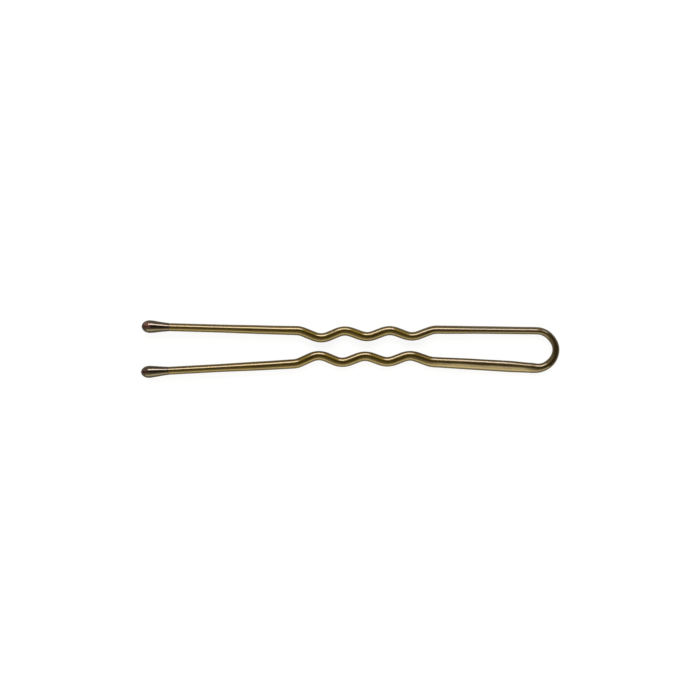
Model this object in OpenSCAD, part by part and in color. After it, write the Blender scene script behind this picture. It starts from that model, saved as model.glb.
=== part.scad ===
// Crinkled hairpin: one spring wire bent to a bow, with two waved legs and a resin drop on each end.
// The bow points along +X and the tips along -X. The upper leg lies on the +Y side and Z is up.
// The origin is on the ground under the middle of the pin, and the drops touch the ground.

/* [Overall] */
// Length from the noses of the drops to the outside of the bow
pin_l = 65; // [60:0.5:75]

/* [Wire] */
// Diameter of the wire with its lacquer
wire_d = 1.4; // [1:0.05:1.5]

/* [Bow and shanks] */
// Radius of the bow at the middle of the wire
bow_r = 2.9; // [2.5:0.1:3.5]
// Length of the upper shank, from the bow to its first bend
upper_shank_l = 15.5; // [13:0.1:17]
// Length of the lower shank, from the bow to its first bend
lower_shank_l = 15.9; // [13:0.1:17]
// Distance from the bow to the middle of the stretch in which a leg flexes
flex_at = 7; // [5:0.5:9]
// Length of the stretch in which a leg flexes
flex_l = 3; // [2:0.5:4]

/* [Waves] */
// Number of inward crests on each leg
crest_count = 3; // [2:1:4]
// Distance from one crest to the next
wave_pitch = 6.95; // [6.5:0.05:8]
// Height of a crest over the humps beside it
wave_depth = 0.95; // [0.7:0.05:1.2]
// Further height of a crest over the straight runs before and after the waves
wave_drop = 0.1; // [0:0.05:0.2]
// Radius of the crests and humps at the middle of the wire
wave_r = 2.6; // [2:0.1:3.2]
// Radius of the bend between shank and waves at the middle of the wire
shank_knee_r = 2.7; // [1:0.1:3.5]
// Radius of the bend between waves and tail at the middle of the wire
tail_knee_r = 1.2; // [1:0.1:3.5]
// Further slope of both flanks of the upper leg's last crest, in degrees
upper_last_crest = 2; // [0:0.1:4]
// Further slope of both flanks of the lower leg's last crest, in degrees
lower_last_crest = 3.1; // [0:0.1:4]

/* [Splay] */
// Slope of the upper shank away from the middle of the pin, in degrees
upper_shank_splay = 0.6; // [-4:0.1:4]
// Slope of the lower shank away from the middle of the pin, in degrees
lower_shank_splay = -3.3; // [-4:0.1:4]
// Slope of the upper leg's waves away from the middle of the pin, in degrees
upper_wave_splay = -0.5; // [-2:0.1:2]
// Slope of the lower leg's waves away from the middle of the pin, in degrees
lower_wave_splay = 0.7; // [-2:0.1:2]
// Slope of the upper tail away from the middle of the pin, in degrees
upper_tail_splay = 1.6; // [0:0.1:5]
// Slope of the lower tail away from the middle of the pin, in degrees
lower_tail_splay = 3.1; // [0:0.1:5]
// How much further the lower leg reaches than the upper leg
upper_inset = 0.1; // [0:0.05:0.3]

/* [Drops] */
// Largest diameter of a resin drop
drop_d = 2; // [1.8:0.05:2.6]
// Length of a drop from its nose to its neck
drop_l = 4.2; // [3.5:0.1:5]
// Thickness of the resin at the neck
neck_t = 0.03; // [0.02:0.01:0.1]
// Thickness of the resin between the end of the wire and the nose
cap_t = 1.5; // [1.2:0.1:2]
// Clearance between the resin and the wire, none because the resin cures on it
bond_gap = 0; // [0:0.005:0.02]

/* [Hidden] */

bronze = [0.55, 0.47, 0.32];
pale_bronze = [0.68, 0.59, 0.42];
dark_resin = [0.2, 0.13, 0.09];

$fn = 48;
// Sides of the large circle that rounds a drop's flank
flank_fn = 360;

// The wire and the drops share one middle plane
wire_z = drop_d / 2;
bow_x = pin_l / 2 - bow_r - wire_d / 2;
nose_x = drop_d / 2 - pin_l / 2;
// Length of shank on the bow before each leg's flexing stretch
stub_l = flex_at - flex_l / 2;

// The wire is thinner in its straight runs than in its bends by a step too small to see, and each run
// reaches a little way into the bends beside it, so that every seam between them is one clean circle
seam_step = 0.005;
seam_lap = 0.05;
run_r = wire_d / 2 - seam_step;

// The slope at which two arcs of the wave radius and a straight flank between them make one half wave
half_pitch = wave_pitch / 2;
arc_span = 2 * wave_r;
flank_reach = norm([half_pitch, arc_span - wave_depth]);
flank_slope = atan2(half_pitch, arc_span - wave_depth) - acos(arc_span / flank_reach);
flank_l = (half_pitch - arc_span * sin(flank_slope)) / cos(flank_slope);

// Places of the last hump and the last crest in the list of a leg's waves
last_crest = 4 * crest_count - 4;
last_hump = last_crest - 2;

// Length of the flank between a knee and the first or the last crest
function end_flank_l(knee_r) =
    (wave_depth + wave_drop - (knee_r + wave_r) * (1 - cos(flank_slope))) / sin(flank_slope);

// A step along the wire is [length, 0, 0] for a straight run and [0, radius, turn] for a bend.
// A positive turn leads away from the middle of the pin.
function run(l) = [l, 0, 0];
function turn(r, angle) = [0, r, angle];

// A place on the wire is [x, y, slope], where slope 0 leads along -X and a leg lies on the +Y side
function after_run(place, l) = place + [-l * cos(place[2]), l * sin(place[2]), 0];
function after_turn(place, r, angle) =
    let (way = sign(angle) * r, next = place[2] + angle)
    [place[0] + way * (sin(place[2]) - sin(next)), place[1] + way * (cos(place[2]) - cos(next)), next];
function after(place, step) =
    step[1] == 0 ? after_run(place, step[0]) : after_turn(place, step[1], step[2]);
function after_some(place, steps, count) =
    count == 0 ? place : after(after_some(place, steps, count - 1), steps[count - 1]);
function after_all(place, steps) = after_some(place, steps, len(steps));

// Crests and humps take turns, with a straight flank from each to the next. The flanks of the last
// crest are steeper by an extra slope, so it is the deepest.
function wave_turn(i, extra) =
    (i % 4 == 0 ? 2 : -2) * flank_slope + (i == last_hump ? -extra : i == last_crest ? 2 * extra : 0);
function waves(extra) = [
    for (i = [0 : last_crest])
        i % 2 == 1 ? run(flank_l) : turn(wave_r, wave_turn(i, extra))
];

function steps_to_tail(shank_l, shank_splay, wave_splay, extra, tail_splay) = concat(
    [
        run(shank_l - stub_l - flex_l),
        turn(shank_knee_r, wave_splay - flank_slope - shank_splay),
        run(end_flank_l(shank_knee_r))
    ],
    waves(extra),
    [
        run(end_flank_l(tail_knee_r)),
        turn(tail_knee_r, tail_splay - wave_splay - flank_slope - extra)
    ]
);

// The tail leads on to the middle of the drop's round nose, and its wire ends short of the nose
function with_tail(place, steps, inset) =
    let (tail = after_all(place, steps))
    concat(steps, [run((tail[0] - nose_x - inset) / cos(tail[2]) + drop_d / 2 - cap_t)]);

// Places where a leg leaves the bow, begins to flex and is rigid again
function root_place(splay) = [bow_x + bow_r * sin(splay), bow_r * cos(splay), splay];
function flex_place(splay) = after_run(root_place(splay), stub_l);
function leg_place(splay) = after_run(flex_place(splay), flex_l);

upper_steps = with_tail(
    leg_place(upper_shank_splay),
    steps_to_tail(upper_shank_l, upper_shank_splay, upper_wave_splay, upper_last_crest, upper_tail_splay),
    upper_inset
);
lower_steps = with_tail(
    leg_place(lower_shank_splay),
    steps_to_tail(lower_shank_l, lower_shank_splay, lower_wave_splay, lower_last_crest, lower_tail_splay),
    0
);

// Moves what is drawn along +X to a place on the wire
module put(place) {
    translate([place[0], place[1], wire_z])
        rotate([0, 0, 180 - place[2]])
            children();
}

// A straight run, which may reach further back and further on than its own length
module straight(l, back = 0, on = 0) {
    translate([-back, 0, 0])
        rotate([0, 90, 0])
            cylinder(r = run_r, h = back + l + on);
}

// A bend starts at the origin, leads along +X and turns towards -Y when its angle is positive
module bend(r, angle) {
    way = sign(angle) * r;
    translate([0, -way, 0])
        rotate_extrude(angle = -angle, start = way > 0 ? 90 : -90)
            translate([r, 0])
                circle(d = wire_d);
}

// The wire along a list of steps that begins and ends with a straight run
module wire(start, steps) {
    last = len(steps) - 1;
    for (i = [0 : last]) {
        put(after_some(start, steps, i)) {
            if (steps[i][1] == 0) {
                straight(steps[i][0], i == 0 ? 0 : seam_lap, i == last ? 0 : seam_lap);
            } else {
                bend(steps[i][1], steps[i][2]);
            }
        }
    }
}

// Half outline of a drop: a round nose, and a flank on one large arc that narrows to the neck
module drop_outline() {
    neck_r = run_r + bond_gap + neck_t;
    belly_r = drop_d / 2;
    flank_h = drop_l - belly_r;
    slimming = belly_r - neck_r;
    flank_r = (flank_h * flank_h + slimming * slimming) / (2 * slimming);
    translate([0, flank_h])
        intersection() {
            circle(r = belly_r);
            square(belly_r);
        }
    intersection() {
        translate([belly_r - flank_r, flank_h])
            circle(r = flank_r, $fn = flank_fn);
        square([belly_r, flank_h]);
    }
}

// A drop on the end of the wire that ends at a place
module drop(place) {
    put(after_run(place, cap_t - drop_l))
        rotate([0, 90, 0])
            difference() {
                rotate_extrude()
                    drop_outline();
                translate([0, 0, -cap_t])
                    cylinder(r = run_r + bond_gap, h = drop_l);
            }
}

// The bow is drawn the other way, from the end of its upper stub round to the end of its lower one
module bow() {
    bow_turn = 180 - upper_shank_splay - lower_shank_splay;
    color(bronze)
        wire(
            flex_place(upper_shank_splay) + [0, 0, 180],
            [run(stub_l), turn(bow_r, bow_turn), run(stub_l)]
        );
}

module flex(splay) {
    color(pale_bronze)
        put(flex_place(splay))
            straight(flex_l);
}

module leg(splay, steps) {
    color(bronze)
        wire(leg_place(splay), steps);
}

module tip(splay, steps) {
    color(dark_resin)
        drop(after_all(leg_place(splay), steps));
}

module upper_flex() {
    flex(upper_shank_splay);
}

module lower_flex() {
    mirror([0, 1, 0])
        flex(lower_shank_splay);
}

module upper_leg() {
    leg(upper_shank_splay, upper_steps);
}

module lower_leg() {
    mirror([0, 1, 0])
        leg(lower_shank_splay, lower_steps);
}

module upper_tip() {
    tip(upper_shank_splay, upper_steps);
}

module lower_tip() {
    mirror([0, 1, 0])
        tip(lower_shank_splay, lower_steps);
}

bow();
upper_flex();
lower_flex();
upper_leg();
lower_leg();
upper_tip();
lower_tip();
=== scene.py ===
import bpy
import math
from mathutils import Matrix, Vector, noise


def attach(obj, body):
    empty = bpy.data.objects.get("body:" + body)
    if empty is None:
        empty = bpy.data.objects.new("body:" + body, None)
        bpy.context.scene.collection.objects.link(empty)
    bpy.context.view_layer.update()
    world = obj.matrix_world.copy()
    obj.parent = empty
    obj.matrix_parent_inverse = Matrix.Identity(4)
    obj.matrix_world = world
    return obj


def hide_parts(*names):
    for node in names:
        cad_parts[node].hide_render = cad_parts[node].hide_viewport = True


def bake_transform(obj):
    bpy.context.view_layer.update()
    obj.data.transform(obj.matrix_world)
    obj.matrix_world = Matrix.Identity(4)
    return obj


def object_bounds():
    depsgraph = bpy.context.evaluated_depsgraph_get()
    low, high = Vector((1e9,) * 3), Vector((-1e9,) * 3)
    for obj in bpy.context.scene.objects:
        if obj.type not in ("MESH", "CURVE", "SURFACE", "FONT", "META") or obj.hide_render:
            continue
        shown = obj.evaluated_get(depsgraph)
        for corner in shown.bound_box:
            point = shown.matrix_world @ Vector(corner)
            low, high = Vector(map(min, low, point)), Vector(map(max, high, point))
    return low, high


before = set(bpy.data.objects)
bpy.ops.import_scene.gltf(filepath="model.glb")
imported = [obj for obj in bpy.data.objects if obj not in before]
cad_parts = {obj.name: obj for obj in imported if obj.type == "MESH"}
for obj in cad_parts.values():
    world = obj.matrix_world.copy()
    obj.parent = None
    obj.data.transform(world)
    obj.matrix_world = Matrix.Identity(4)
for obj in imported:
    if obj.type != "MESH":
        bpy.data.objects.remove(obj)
cadLow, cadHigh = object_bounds()
mm = 0.001      # every length below is in millimetres

# the same bends as in the solids, so both halves of the wire lie where the solids lie
wire = {
    "diameter": 1.4,
    "bowRadius": 2.9,
    "wavePitch": 6.95,
    "waveDepth": 0.95,
    "waveDrop": 0.1,            # how much deeper the crests reach than the straight runs beside them
    "waveRadius": 2.6,
    "crests": 3,
    "shankKneeRadius": 2.7,
    "tailKneeRadius": 1.2,
    "flexReach": 14.0,          # a springing leg bends over this length of its shank
    "easing": 0.45,             # how far a bend runs out into the straight beside it
    "ringStep": 0.17,
    "firstStep": 0.02125,       # a short first ring keeps the seam between the two halves smooth
    "sides": 40,
    "pressing": 0.5,            # how much flatter a stretch gets that is pressed wider
    "crimpDepth": 0.03,         # flats that the crimping rollers leave on the outside of the waves
    "crimpReach": (0.275, 1.375),       # from the middle of a flat: whole to here, gone from there
    "crimpEdge": 0.5,           # how far round the wire a flat can reach, as a cosine
    "unevenness": 0.004,        # of the lacquer's thickness
    "unevenScale": (0.7, 1.4, 1.4),
}

# where the lacquer is rubbed: on the outside of the bow and of the waves
rubbing = {
    "bow": 0.55,
    "bowFade": (1.1, 0.1),      # none from here, all to there, in shares of half the bow's length
    "crests": 0.9,              # they face the other leg
    "humps": 0.6,
    "edge": 0.55,               # how far round the wire a wave is rubbed, as a cosine
}

# a painted reflection along a shank, drawn as a pale, dull stripe: distances from the middle of the bow,
# and cosines round the wire
paintedBandPlace = {
    "begins": (4.0, 7.0),
    "ends": (18.0, 23.0),
    "inside": (-0.17, 0.20),
    "outside": (0.35, 0.77),
}

# slopes in degrees, away from the middle of the pin; the last crest is steeper by its own slope.
# pressed: (distance from the middle of the bow, width seen from above, shift outwards, how far the top
# leans inwards), because the wire isn't round all along.
# the stripe's strength: how strongly that painted reflection lies along the shank, as pale and dull lacquer
legs = {
    "upper": {
        "side": 1,
        "inset": 0.1,
        "paintedBandStrength": 0.0,
        "shank": 15.5,
        "shankSlope": 0.6,
        "waveSlope": -0.5,
        "lastCrest": 2.0,
        "tailSlope": 1.6,
        "pressed": (
            (0.0, 1.10, 0.15, 0.0),
            (2.2, 1.13, 0.0, 0.0),
            (5.0, 1.17, -0.02, 0.07),
            (13.0, 1.21, 0.0, 0.10),
            (19.0, 1.31, -0.02, 0.08),
            (23.0, 1.37, 0.0, 0.03),
            (29.0, 1.49, 0.02, -0.04),
            (40.0, 1.49, 0.02, -0.04),
            (47.0, 1.39, 0.0, 0.0),
            (56.0, 1.27, 0.0, 0.0),
        ),
    },
    "lower": {
        "side": -1,
        "inset": 0.0,
        "paintedBandStrength": 0.85,
        "shank": 15.9,
        "shankSlope": -3.3,
        "waveSlope": 0.7,
        "lastCrest": 3.1,
        "tailSlope": 3.1,
        "pressed": (
            (0.0, 1.10, 0.15, 0.0),
            (3.0, 1.30, 0.06, 0.02),
            (5.5, 1.60, 0.0, 0.07),
            (9.0, 1.77, -0.025, 0.08),
            (15.0, 1.73, -0.035, 0.08),
            (20.0, 1.64, -0.02, 0.07),
            (25.0, 1.56, -0.02, 0.05),
            (33.0, 1.52, -0.035, 0.04),
            (42.0, 1.49, -0.02, 0.02),
            (48.0, 1.42, 0.01, 0.0),
            (56.0, 1.265, 0.0, 0.0),
        ),
    },
}

wireRadius = wire["diameter"] / 2
middleZ = (cadLow.z + cadHigh.z) / 2 / mm
noseRadius = middleZ            # a drop's round nose touches the ground
noseX = cadLow.x / mm + noseRadius


def ramp(value, start, full):
    # a soft step from 0 at start to 1 at full
    share = max(0.0, min(1.0, (value - start) / (full - start)))
    return share * share * (3 - 2 * share)


def flankSlope():
    halfPitch = wire["wavePitch"] / 2
    span = 2 * wire["waveRadius"]
    rise = span - wire["waveDepth"]
    return math.atan2(halfPitch, rise) - math.acos(span / math.hypot(halfPitch, rise))


def legBends(leg):
    # (length, turn) for each stretch, and (distance, side) for the outside of each wave's bend
    slope = flankSlope()
    halfPitch = wire["wavePitch"] / 2
    flank = (halfPitch - 2 * wire["waveRadius"] * math.sin(slope)) / math.cos(slope)
    shankSlope, waveSlope, lastCrest, tailSlope = [
        math.radians(leg[k]) for k in ("shankSlope", "waveSlope", "lastCrest", "tailSlope")
    ]

    def turn(radius, angle):
        return (radius * abs(angle), angle)

    def endFlank(radius):
        fall = (radius + wire["waveRadius"]) * (1 - math.cos(slope))
        return ((wire["waveDepth"] + wire["waveDrop"] - fall) / math.sin(slope), 0.0)

    bends = [
        turn(wire["bowRadius"], shankSlope - math.pi / 2),
        (leg["shank"], 0.0),
        turn(wire["shankKneeRadius"], waveSlope - slope - shankSlope),
        endFlank(wire["shankKneeRadius"]),
    ]
    crimps = []
    turns = [2 * slope if wave % 2 == 0 else -2 * slope for wave in range(2 * wire["crests"] - 1)]
    turns[-2] -= lastCrest
    turns[-1] += 2 * lastCrest
    for wave, angle in enumerate(turns):
        if wave:
            bends.append((flank, 0.0))
        bend = turn(wire["waveRadius"], angle)
        crimps.append((sum(length for length, _ in bends) + bend[0] / 2, -1 if angle > 0 else 1))
        bends.append(bend)
    bends.append(endFlank(wire["tailKneeRadius"]))
    bends.append(turn(wire["tailKneeRadius"], tailSlope - waveSlope - slope - lastCrest))
    return bends, crimps


def slopeAlong(bends, s):
    slope = math.pi / 2
    for length, angle in bends:
        if s <= length:
            return slope + angle * s / length
        s -= length
        slope += angle
    return slope


def easedSlope(bends, s, samples=9):
    # the mean over a short stretch, so that no bend begins abruptly
    shares = [2 * i / (samples - 1) - 1 for i in range(samples)]
    return sum(slopeAlong(bends, s + wire["easing"] * share) for share in shares) / samples


def courseOf(bends, inset):
    # places (x, y, slope, distance) from the middle of the bow to the cut end of the wire
    bentLength = sum(length for length, _ in bends)
    x, y, s = cadHigh.x / mm - wireRadius, 0.0, 0.0
    places = []
    while True:
        slope = easedSlope(bends, s)
        places.append((x, y, slope, s))
        left = (x - noseX - inset) / math.cos(slope) + noseRadius - drops["cap"]
        step = wire["ringStep"] if s else wire["firstStep"]
        if s > bentLength and left < 1.5 * step:        # the last step ends at the cut end
            places.append((x - left * math.cos(slope), y + left * math.sin(slope), slope, s + left))
            return places
        middle = easedSlope(bends, s + step / 2)
        x -= step * math.cos(middle)
        y += step * math.sin(middle)
        s += step


def frameAt(place, side):
    # the wire's middle, the way ahead and the way out from the pin's middle
    x, y, slope, _ = place
    middle = Vector((x, side * y, middleZ))
    ahead = Vector((-math.cos(slope), side * math.sin(slope), 0))
    outward = Vector((math.sin(slope), side * math.cos(slope), 0))
    return middle, ahead, outward


def pressedAt(leg, s):
    # half width, half height, shift outwards and lean inwards of the wire's section
    stops = leg["pressed"]
    width, shift, lean = stops[-1][1:]
    for before, after in zip(stops, stops[1:]):
        if s < after[0]:
            share = ramp(s, before[0], after[0])
            width, shift, lean = [a + (b - a) * share for a, b in zip(before[1:], after[1:])]
            break
    flatter = min(1.0, wire["diameter"] / width) ** wire["pressing"]
    return width / 2, flatter * wireRadius, shift, lean


def ringTube(name, rings, side, closed=()):
    # joins rings of points to one closed skin; rings named in closed end it with a flat face
    sides = max(len(ring) for ring in rings)
    points, starts = [], []
    for ring in rings:
        starts.append(len(points))
        points += ring
    faces, rims = [], set()
    for k in range(len(rings) - 1):
        for i in range(sides):
            j = (i + 1) % sides
            a, b = starts[k], starts[k + 1]
            if len(rings[k]) == 1:
                face = [a, b + j, b + i]
            elif len(rings[k + 1]) == 1:
                face = [a + i, a + j, b]
            else:
                face = [a + i, a + j, b + j, b + i]
            faces.append(face if side > 0 else face[::-1])
    for k in closed:
        face = [starts[k] + i for i in range(sides)]
        first = k == 0
        faces.append(face[::-1] if first == (side > 0) else face)
        rims |= {frozenset((starts[k] + i, starts[k] + (i + 1) % sides)) for i in range(sides)}
    skin = bpy.data.meshes.new(name)
    skin.from_pydata([p * mm for p in points], [], faces)
    skin.update()
    for face in skin.polygons:
        face.use_smooth = True
    for edge in skin.edges:
        if frozenset(edge.vertices) in rims:
            edge.use_edge_sharp = True
    piece = bpy.data.objects.new(name, skin)
    bpy.context.scene.collection.objects.link(piece)
    return piece


def keepValues(piece, name, kind, values):
    # a value at each point, which the materials read
    stored = piece.data.attributes.new(name, kind, "POINT")
    if kind == "FLOAT_VECTOR":
        stored.data.foreach_set("vector", [c for v in values for c in v])
    else:
        stored.data.foreach_set("value", values)


def flatsNear(crimps, s):
    # (side, share) of the rollers' flats that reach this place on the wire
    whole, gone = wire["crimpReach"]
    shares = [(facing, ramp(abs(s - at), gone, whole)) for at, facing in crimps]
    return [(facing, share) for facing, share in shares if share > 0]


def paintedBandAt(leg, s, outwards):
    # the share of the painted reflection, a pale stripe along the shank, at this place
    begins, ends, inside, outside = [paintedBandPlace[k] for k in ("begins", "ends", "inside", "outside")]
    along = ramp(s, *begins) * (1 - ramp(s, *ends))
    across = ramp(outwards, *inside) * (1 - ramp(outwards, *outside))
    return leg["paintedBandStrength"] * along * across


def makeWire(name, leg):
    bends, crimps = legBends(leg)
    places = courseOf(bends, leg["inset"])
    side = leg["side"]
    neckAt = places[-1][3] + drops["cap"] - drops["length"]
    bowEnd = bends[0][0]
    rings, onWire, wear, paintedBand, toNeck = [], [], [], [], []
    for place in places:
        s = place[3]
        middle, _, outward = frameAt(place, side)
        halfWidth, halfHeight, shift, lean = pressedAt(leg, s)
        middle += shift * outward
        flats = flatsNear(crimps, s)
        onBow = rubbing["bow"] * ramp(s, *[share * bowEnd for share in rubbing["bowFade"]])
        ring = []
        for i in range(wire["sides"]):
            a = 2 * math.pi * i / wire["sides"]
            outwards, upwards = math.cos(a), math.sin(a)
            straight = Vector((side * s, wireRadius * outwards, wireRadius * upwards))
            thinner = 0.5 + 0.5 * noise.noise(straight * Vector(wire["unevenScale"]))
            radius = wireRadius - wire["unevenness"] * thinner
            rubbed = onBow * ramp(outwards, 0, 1)
            for facing, share in flats:
                toFlat = facing * outwards
                if toFlat > wire["crimpEdge"]:
                    radius = min(radius, (wireRadius - wire["crimpDepth"] * share) / toFlat)
                most = rubbing["crests"] if facing < 0 else rubbing["humps"]
                rubbed = max(rubbed, share * ramp(toFlat, rubbing["edge"], 1) * most)
            swell = radius / wireRadius
            up = Vector((0, 0, swell * (halfHeight * upwards - lean * outwards)))
            ring.append(middle + halfWidth * swell * outwards * outward + up)
            onWire.append(straight)
            wear.append(rubbed)
            paintedBand.append(paintedBandAt(leg, s, outwards))
            toNeck.append(neckAt - s)
        rings.append(ring)
    piece = ringTube(name, rings, side, closed=(0, len(rings) - 1))
    keepValues(piece, "onWire", "FLOAT_VECTOR", onWire)
    keepValues(piece, "wear", "FLOAT", wear)
    keepValues(piece, "paintedBand", "FLOAT", paintedBand)
    keepValues(piece, "toNeck", "FLOAT", toNeck)

    # the leg's end, and the places between which it bends when it springs
    slope = math.radians(leg["shankSlope"])
    bowX = cadHigh.x / mm - wireRadius - wire["bowRadius"]
    rootX, rootY = bowX + wire["bowRadius"] * math.sin(slope), wire["bowRadius"] * math.cos(slope)
    leg["end"] = places[-1]
    leg["root"] = Vector((rootX, side * rootY, middleZ))
    leg["flexed"] = leg["root"] + wire["flexReach"] * Vector((-math.cos(slope), side * math.sin(slope), 0))
    return piece


drops = {
    "length": 4.2,
    "radius": {"upper": 1.0, "lower": 0.95},
    "noseReach": 1.3,           # from the nose to the thickest place
    "slimming": 1.2,            # how evenly the flank narrows from there to the wire
    "lip": 0.015,               # thickness of the resin where it ends on the wire
    "cap": 1.5,                 # resin in front of the wire's cut end
    "clearance": 0.004,         # between wire and resin, so that their faces don't lie in each other
    "flare": 0.3,               # from the lip to where the bore fits the wire
    "oval": 2.5,                # length over which the flank takes on the wire's pressed section
    "unevenness": 0.012,
    "unevenScale": 0.9,
    "unevenPlace": {"upper": (7, 3, 0), "lower": (-7, 3, 0)},       # so that the drops differ
    "evenNeck": 1.5,            # length over which the unevenness dies away towards the lip
    "sides": 64,
    "noseRings": 16,
    "flankRings": 28,
    "lipTurns": (30, 60, 90),   # of the lip's round edge, in degrees
    # a painted red glint on each drop: (distance from the nose, shift towards +Y, strength)
    "paintedRedGlint": {"upper": (0.95, 0.26, 0.9), "lower": (0.85, 0.0, 0.25)},
    "glintEdge": (0.625, 0.125),     # from the spot's middle: gone from here, full to there
    "glintStretch": 1.3,
}


def dropOutline(belly):
    # (distance from the nose, radius), from the nose over the belly to the lip and back in along the bore
    length, reach = drops["length"], drops["noseReach"]
    lipRadius = wireRadius + drops["lip"]
    bore = wireRadius + drops["clearance"]
    outline = [(0.0, 0.0)]
    for i in range(1, drops["noseRings"] + 1):
        turn = math.pi / 2 * i / drops["noseRings"]
        outline.append((reach * (1 - math.cos(turn)), belly * math.sin(turn)))
    flank = length - reach
    for i in range(1, drops["flankRings"] + 1):
        share = i / drops["flankRings"]
        outline.append((reach + flank * share, belly - (belly - lipRadius) * share ** drops["slimming"]))
    inward = drops["lip"] - drops["clearance"]
    for degrees in drops["lipTurns"]:
        turn = math.radians(degrees)
        outline.append((length + inward * math.sin(turn), lipRadius - inward + inward * math.cos(turn)))
    outline.append((length - drops["flare"], bore))
    outline.append((drops["cap"] - drops["clearance"], bore))
    outline.append((drops["cap"] - drops["clearance"], 0.0))
    return outline


def makeDrop(name, leg):
    side = leg["side"]
    middle, ahead, outward = frameAt(leg["end"], side)
    nose = middle + drops["cap"] * ahead
    up = Vector((0, 0, 1))
    outline = dropOutline(drops["radius"][name])
    glintAt, glintShift, glintStrength = drops["paintedRedGlint"][name]
    length, reach = drops["length"], drops["noseReach"]
    narrowing = 1 - pressedAt(leg, leg["end"][3])[0] / wireRadius
    lipAt = max(range(len(outline)), key=lambda k: outline[k][0])
    rings, onDrop, glow = [], [], []
    for k, (u, radius) in enumerate(outline):
        inBore = k > lipAt
        narrow = narrowing if inBore else narrowing * ramp(u, reach, reach + drops["oval"])
        ring = []
        for i in range(drops["sides"] if radius else 1):
            a = 2 * math.pi * i / drops["sides"]
            local = Vector((u, radius * math.cos(a), radius * math.sin(a)))
            wobble = 0
            if k < lipAt:
                wobble = noise.noise(local * drops["unevenScale"] + Vector(drops["unevenPlace"][name]))
            uneven = drops["unevenness"] * ramp(u, length, length - drops["evenNeck"])
            r = radius * (1 + uneven * (wobble - 0.5))      # mostly inwards
            across = r * (1 - narrow)
            ring.append(nose - ahead * u + outward * (across * math.cos(a)) + up * (r * math.sin(a)))
            onDrop.append(local)
            # the painted red glint's share at this point, kept as glow
            toGlint = math.hypot((u - glintAt) / drops["glintStretch"], side * local.y - glintShift)
            glow.append(glintStrength * ramp(toGlint, *drops["glintEdge"]))
        rings.append(ring)
    piece = ringTube(name + "Drop", rings, -side)
    keepValues(piece, "onDrop", "FLOAT_VECTOR", onDrop)
    keepValues(piece, "glow", "FLOAT", glow)
    return piece


def newFinish(name):
    finish = bpy.data.materials.new(name)
    finish.use_nodes = True
    tree = finish.node_tree
    return finish, tree, tree.nodes["Principled BSDF"]


def addNode(tree, kind, inputs, **settings):
    # inputs are socket names or numbers, with a plain value or another node's output
    node = tree.nodes.new(kind)
    for setting, value in settings.items():
        setattr(node, setting, value)
    for socket, value in inputs.items():
        if isinstance(value, bpy.types.NodeSocket):
            tree.links.new(value, node.inputs[socket])
        else:
            node.inputs[socket].default_value = value
    return node


def storedValue(tree, name, output):
    return addNode(tree, "ShaderNodeAttribute", {}, attribute_name=name).outputs[output]


def grain(tree, vector, along, across, detail, roughness, distortion=0.0):
    # a noise with its own scales along and across the pin
    scales = {0: vector, 1: (along, across, across)}
    scaled = addNode(tree, "ShaderNodeVectorMath", scales, operation="MULTIPLY").outputs[0]
    return addNode(tree, "ShaderNodeTexNoise", {
        "Vector": scaled, "Scale": 1.0, "Detail": detail, "Roughness": roughness, "Distortion": distortion,
    }).outputs[0]


def ranged(tree, value, low, high, toLow=0.0, toHigh=1.0):
    # a soft step from low to high
    return addNode(tree, "ShaderNodeMapRange", {
        "Value": value, "From Min": low, "From Max": high, "To Min": toLow, "To Max": toHigh,
    }, interpolation_type="SMOOTHSTEP").outputs[0]


def combined(tree, operation, a, b):
    return addNode(tree, "ShaderNodeMath", {0: a, 1: b}, operation=operation).outputs[0]


def mixed(tree, share, a, b):
    return addNode(tree, "ShaderNodeMix", {0: share, 6: a, 7: b}, data_type="RGBA").outputs[2]


def bumped(tree, height, depth, under=None):
    # depth in millimetres between the lowest and the highest place
    inputs = {"Height": height, "Distance": depth * mm, "Strength": 1.0}
    if under is not None:
        inputs["Normal"] = under
    return addNode(tree, "ShaderNodeBump", inputs).outputs[0]


# a noise: (scale along the pin, scale across it, detail, roughness, distortion).
# what follows a value: (the value at which it begins, the value at which it ends, its measure at both)
lacquer = {
    "tailBronze": (0.188, 0.122, 0.005, 1),
    "bowBronze": (0.150, 0.102, 0.030, 1),
    "deepBronze": (0.118, 0.062, 0.002, 1),
    # the colour of the painted reflection along the lower shank
    "paintedBandColour": (0.720, 0.570, 0.310, 1),
    "rubbedMetal": (0.300, 0.235, 0.120, 1),
    "neckShade": (0.030, 0.016, 0.008, 1),
    "clouds": (0.35, 0.9, 3.0, 0.55),
    "streaks": (0.5, 9.0, 2.0, 0.6),
    "specks": (5.5, 5.5, 3.0, 0.65),
    "pits": (11.0, 11.0, 1.0, 0.5),
    "bowToTail": (8, 34),       # distances from the bow between which its colour turns to the tails'
    "turnInClouds": (0.3, 0.7, -4, 4),      # how far clouds push that turn to and fro
    "deepInClouds": (0.52, 0.30, 0.0, 0.45),
    "deepInStreaks": (0.50, 0.30, 0.0, 0.35),
    "deepInPits": (0.30, 0.20, 0.0, 0.60),
    "paintedBandInClouds": (0.25, 0.55, 0.70, 1.0),
    "rubbedInSpecks": (0.40, 0.62, 0.0, 1.0),
    "rubbedShare": 0.75,
    "rubbedDulling": 0.10,
    "shadeNearDrop": (0.32, 0.06, 0.0, 0.85),
    "metallicInPaintedBand": (0.0, 1.0, 0.85, 0.20),
    "roughness": (0.12, 0.36, 0.26, 0.35),      # follows clouds times streaks
    "coat": 1.0,
    "coatIor": 1.95,
    "coatRoughness": 0.06,
    "lines": (0.12, 7.0, 3.0, 0.6),
    "lineDepth": 0.0008,
    "skin": (1.6, 1.6, 2.0, 0.5),
    "skinDepth": 0.003,
    "scratchPaths": (0.7, 2.4, 0.0, 0.5, 1.2),
    "scratchLevel": 0.47,       # a scratch runs where that noise has this value
    "scratchWidth": 0.006,
    "scratchDepth": 0.0008,
}


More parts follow.
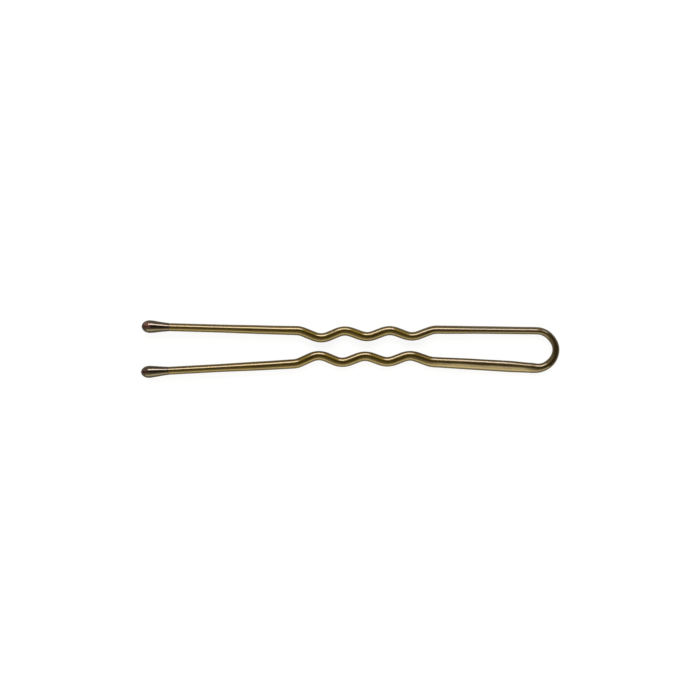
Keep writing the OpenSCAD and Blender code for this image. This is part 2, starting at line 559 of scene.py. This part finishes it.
def bronzeLacquer():
    finish, tree, shader = newFinish("bronzeLacquer")
    onWire = storedValue(tree, "onWire", "Vector")
    wear = storedValue(tree, "wear", "Fac")
    paintedBand = storedValue(tree, "paintedBand", "Fac")
    toNeck = storedValue(tree, "toNeck", "Fac")
    s = addNode(tree, "ShaderNodeSeparateXYZ", {0: onWire}).outputs[0]
    fromBow = combined(tree, "ABSOLUTE", s, 0.0)

    # colour: olive bronze at the tails, browner towards the bow, with deeper clouds, and on one shank a
    # painted reflection as a pale stripe
    clouds = grain(tree, onWire, *lacquer["clouds"])
    streaks = grain(tree, onWire, *lacquer["streaks"])
    specks = grain(tree, onWire, *lacquer["specks"])
    pits = grain(tree, onWire, *lacquer["pits"])
    push = ranged(tree, clouds, *lacquer["turnInClouds"])
    drift = ranged(tree, combined(tree, "ADD", fromBow, push), *lacquer["bowToTail"])
    colour = mixed(tree, drift, lacquer["bowBronze"], lacquer["tailBronze"])
    colour = mixed(tree, ranged(tree, clouds, *lacquer["deepInClouds"]), colour, lacquer["deepBronze"])
    colour = mixed(tree, ranged(tree, streaks, *lacquer["deepInStreaks"]), colour, lacquer["deepBronze"])
    # the painted reflection: the pale stripe along the lower shank, patchy with the clouds
    paintedBandShare = combined(tree, "MULTIPLY", paintedBand, ranged(tree, clouds, *lacquer["paintedBandInClouds"]))
    colour = mixed(tree, paintedBandShare, colour, lacquer["paintedBandColour"])
    rubbed = combined(tree, "MULTIPLY", wear, ranged(tree, specks, *lacquer["rubbedInSpecks"]))
    barer = combined(tree, "MULTIPLY", rubbed, lacquer["rubbedShare"])
    colour = mixed(tree, barer, colour, lacquer["rubbedMetal"])
    colour = mixed(tree, ranged(tree, pits, *lacquer["deepInPits"]), colour, lacquer["deepBronze"])
    colour = mixed(tree, ranged(tree, toNeck, *lacquer["shadeNearDrop"]), colour, lacquer["neckShade"])
    tree.links.new(colour, shader.inputs["Base Color"])

    # gloss: smooth lacquer, duller where it is rubbed or cloudy
    rough = ranged(tree, combined(tree, "MULTIPLY", clouds, streaks), *lacquer["roughness"])
    duller = combined(tree, "MULTIPLY", rubbed, lacquer["rubbedDulling"])
    tree.links.new(combined(tree, "ADD", rough, duller), shader.inputs["Roughness"])
    # less metallic in the painted reflection's stripe, so that its pale colour shows
    tree.links.new(ranged(tree, paintedBandShare, *lacquer["metallicInPaintedBand"]), shader.inputs["Metallic"])
    shader.inputs["Specular IOR Level"].default_value = 0.0
    shader.inputs["Coat Weight"].default_value = lacquer["coat"]
    shader.inputs["Coat Roughness"].default_value = lacquer["coatRoughness"]
    shader.inputs["Coat IOR"].default_value = lacquer["coatIor"]

    # relief: the drawn wire's lines, the lacquer's skin and a few fine scratches
    lines = bumped(tree, grain(tree, onWire, *lacquer["lines"]), lacquer["lineDepth"])
    skin = bumped(tree, grain(tree, onWire, *lacquer["skin"]), lacquer["skinDepth"], lines)
    scratchPaths = grain(tree, onWire, *lacquer["scratchPaths"])
    fromPath = combined(tree, "SUBTRACT", scratchPaths, lacquer["scratchLevel"])
    scratch = combined(tree, "ABSOLUTE", fromPath, 0.0)
    groove = ranged(tree, scratch, 0.0, lacquer["scratchWidth"])
    relief = bumped(tree, groove, lacquer["scratchDepth"], skin)
    tree.links.new(relief, shader.inputs["Normal"])
    tree.links.new(relief, shader.inputs["Coat Normal"])
    return finish


resin = {
    "brown": (0.014, 0.007, 0.0035, 1),
    "deepBrown": (0.006, 0.0035, 0.002, 1),
    # the colour of the painted red glint
    "glintRed": (0.300, 0.105, 0.090, 1),
    "clouds": (0.9, 0.9, 3.0, 0.55),
    "mottle": (4.5, 4.5, 2.0, 0.5),
    "swell": (1.3, 1.3, 1.0, 0.5),
    "brownInClouds": (0.35, 0.65, 0.0, 1.0),
    "glintInMottle": (0.30, 0.62, 0.25, 1.0),
    "roughness": (0.35, 0.65, 0.04, 0.08),      # follows the mottle
    "ior": 2.45,
    "shine": (1.0, 0.86, 0.72, 1),
    "swellDepth": 0.02,
    "skinDepth": 0.0025,
}


def darkResin():
    finish, tree, shader = newFinish("darkResin")
    onDrop = storedValue(tree, "onDrop", "Vector")
    glow = storedValue(tree, "glow", "Fac")
    clouds = grain(tree, onDrop, *resin["clouds"])
    mottle = grain(tree, onDrop, *resin["mottle"])
    brownness = ranged(tree, clouds, *resin["brownInClouds"])
    colour = mixed(tree, brownness, resin["deepBrown"], resin["brown"])
    # a painted red glint in front of the wire's end, in patches
    glintPatches = combined(tree, "MULTIPLY", glow, ranged(tree, mottle, *resin["glintInMottle"]))
    colour = mixed(tree, glintPatches, colour, resin["glintRed"])
    tree.links.new(colour, shader.inputs["Base Color"])
    tree.links.new(ranged(tree, mottle, *resin["roughness"]), shader.inputs["Roughness"])
    shader.inputs["IOR"].default_value = resin["ior"]
    shader.inputs["Specular Tint"].default_value = resin["shine"]
    swell = bumped(tree, grain(tree, onDrop, *resin["swell"]), resin["swellDepth"])
    skin = bumped(tree, mottle, resin["skinDepth"], swell)
    tree.links.new(skin, shader.inputs["Normal"])
    return finish


# the pin's four pieces, each half of the wire from the middle of the bow to the end of its leg
wireFinish = bronzeLacquer()
dropFinish = darkResin()
for name, leg in legs.items():
    halfWire = makeWire(name + "Wire", leg)
    halfWire.data.materials.append(wireFinish)
    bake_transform(halfWire)
    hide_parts("bow", name + "_flex", name + "_leg")
    print(name, "half of the wire:", round(leg["end"][3], 2), "mm,", len(halfWire.data.polygons), "faces")

    resinDrop = makeDrop(name, leg)
    resinDrop.data.materials.append(dropFinish)
    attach(resinDrop, name + "_leg")
    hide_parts(name + "_tip")
    print(name, "drop:", len(resinDrop.data.polygons), "faces")


studio = {
    "floorSize": 3000.0,
    "floorColour": (0.27, 0.27, 0.27, 1),
    "floorGlow": 0.88,
    "glossShare": 0.28,         # of the table's glow that gloss shows
    "airLight": 0.70,           # what the surroundings give to dull surfaces
    "airSeen": 0.31,            # and what gloss shows of them
    "seenTint": (1.0, 0.90, 0.66, 1),       # the warm colour in which gloss shows table and surroundings
    # the dark wedge overhead, in shares of a direction's length
    "wedgeHalf": 0.30,
    "wedgeSlope": 0.9,
    "wedgeEnd": -0.03,
    "wedgeEdge": 0.06,
    "wedgeShade": 0.10,
    # lamps that face the pin: (place, width and height, radiance, tint)
    "softBox": ((-40.0, 504.0, 486.0), (340.0, 260.0), 5.3, (1.0, 0.94, 0.90)),
    "sideBox": ((300.0, 440.0, 460.0), (140.0, 260.0), 3.0, (1.0, 0.97, 0.90)),
    "fillBox": ((10.0, -331.0, 114.0), (580.0, 214.0), 1.32, (1.0, 0.94, 0.60)),
    "cameraHeight": 302.0,
    "cameraAim": (-0.03, -0.10),
    "lens": 100.0,
    "sensor": 36.0,
    "clip": (10.0, 10000.0),
}


def raysThatSee(tree, glossShare=1.0):
    # rays from the camera, and rays that gloss or glass sends on
    path = addNode(tree, "ShaderNodeLightPath", {})
    sentOn = combined(tree, "MAXIMUM", path.outputs["Is Glossy Ray"], path.outputs["Is Transmission Ray"])
    sentOn = combined(tree, "MULTIPLY", sentOn, glossShare)
    return combined(tree, "MAXIMUM", path.outputs["Is Camera Ray"], sentOn)


def seenColour(tree):
    sentOn = addNode(tree, "ShaderNodeLightPath", {}).outputs["Is Glossy Ray"]
    return mixed(tree, sentOn, (1, 1, 1, 1), studio["seenTint"])


def whiteTable():
    finish, tree, shader = newFinish("whiteTable")
    tree.nodes.remove(shader)
    lit = addNode(tree, "ShaderNodeBsdfDiffuse", {"Color": studio["floorColour"]})
    glow = combined(tree, "MULTIPLY", raysThatSee(tree, studio["glossShare"]), studio["floorGlow"])
    shown = addNode(tree, "ShaderNodeEmission", {"Color": seenColour(tree), "Strength": glow})
    both = addNode(tree, "ShaderNodeAddShader", {0: lit.outputs[0], 1: shown.outputs[0]})
    tree.links.new(both.outputs[0], tree.nodes["Material Output"].inputs["Surface"])
    return finish


def makeTable():
    # it tips by a quarter of a degree, so that the pin lies on its drops and on its bow
    half = studio["floorSize"] / 2 * mm
    bowX, bowZ = cadHigh.x - wireRadius * mm, (middleZ - wireRadius) * mm
    tilt = bowZ / (bowX - noseX * mm)
    outline = ((-half, -half), (half, -half), (half, half), (-half, half))
    corners = [(x, y, (x - noseX * mm) * tilt) for x, y in outline]
    table = bpy.data.meshes.new("table")
    table.from_pydata(corners, [], [(0, 1, 2, 3)])
    floor = bpy.data.objects.new("table", table)
    bpy.context.scene.collection.objects.link(floor)
    table.materials.append(whiteTable())


def makeAir():
    # pale surroundings with a dark wedge that opens from overhead, where the camera stands, to past the bow
    air = bpy.data.worlds.new("studioAir")
    air.use_nodes = True
    tree = air.node_tree
    tree.nodes.clear()
    way = addNode(tree, "ShaderNodeTexCoord", {}).outputs["Generated"]
    parts = addNode(tree, "ShaderNodeSeparateXYZ", {0: way})
    aside = combined(tree, "ABSOLUTE", parts.outputs[1], 0.0)
    towardsBow = combined(tree, "MAXIMUM", parts.outputs[0], studio["wedgeEnd"])
    opening = combined(tree, "MULTIPLY", towardsBow, studio["wedgeSlope"])
    edge = combined(tree, "ADD", opening, studio["wedgeHalf"])
    beyond = combined(tree, "SUBTRACT", aside, edge)
    light = ranged(tree, beyond, -studio["wedgeEdge"], studio["wedgeEdge"], studio["wedgeShade"], 1.0)
    level = ranged(tree, raysThatSee(tree), 0.0, 1.0, studio["airLight"], studio["airSeen"])
    strength = combined(tree, "MULTIPLY", light, level)
    toCamera = addNode(tree, "ShaderNodeLightPath", {}).outputs["Is Camera Ray"]
    backdrop = addNode(tree, "ShaderNodeBackground", {
        "Color": seenColour(tree), "Strength": combined(tree, "MAXIMUM", strength, toCamera),
    })
    shown = addNode(tree, "ShaderNodeOutputWorld", {})
    tree.links.new(backdrop.outputs[0], shown.inputs["Surface"])
    bpy.context.scene.world = air


def makeLamp(name):
    # a soft box whose face shines with the given radiance
    place, size, radiance, tint = studio[name]
    width, height = [length * mm for length in size]
    lamp = bpy.data.lights.new(name, "AREA")
    lamp.shape = "RECTANGLE"
    lamp.size = width
    lamp.size_y = height
    lamp.energy = radiance * math.pi * width * height
    lamp.color = tint
    holder = bpy.data.objects.new(name, lamp)
    bpy.context.scene.collection.objects.link(holder)
    holder.location = Vector(place) * mm
    holder.visible_camera = False
    holder.rotation_mode = "QUATERNION"
    holder.rotation_quaternion = (-Vector(place)).to_track_quat("-Z", "Y")


def makeCamera():
    camera = bpy.data.cameras.new("overhead")
    camera.lens = studio["lens"]
    camera.sensor_width = studio["sensor"]
    camera.clip_start, camera.clip_end = [reach * mm for reach in studio["clip"]]
    stand = bpy.data.objects.new("overhead", camera)
    bpy.context.scene.collection.objects.link(stand)
    x, y = studio["cameraAim"]
    stand.location = Vector((x, y, middleZ + studio["cameraHeight"])) * mm
    bpy.context.scene.camera = stand


makeTable()
makeAir()
for lampName in ("softBox", "sideBox", "fillBox"):
    makeLamp(lampName)
makeCamera()
bpy.context.scene.view_settings.view_transform = "Standard"
print("studio: table, air, lamps and camera")
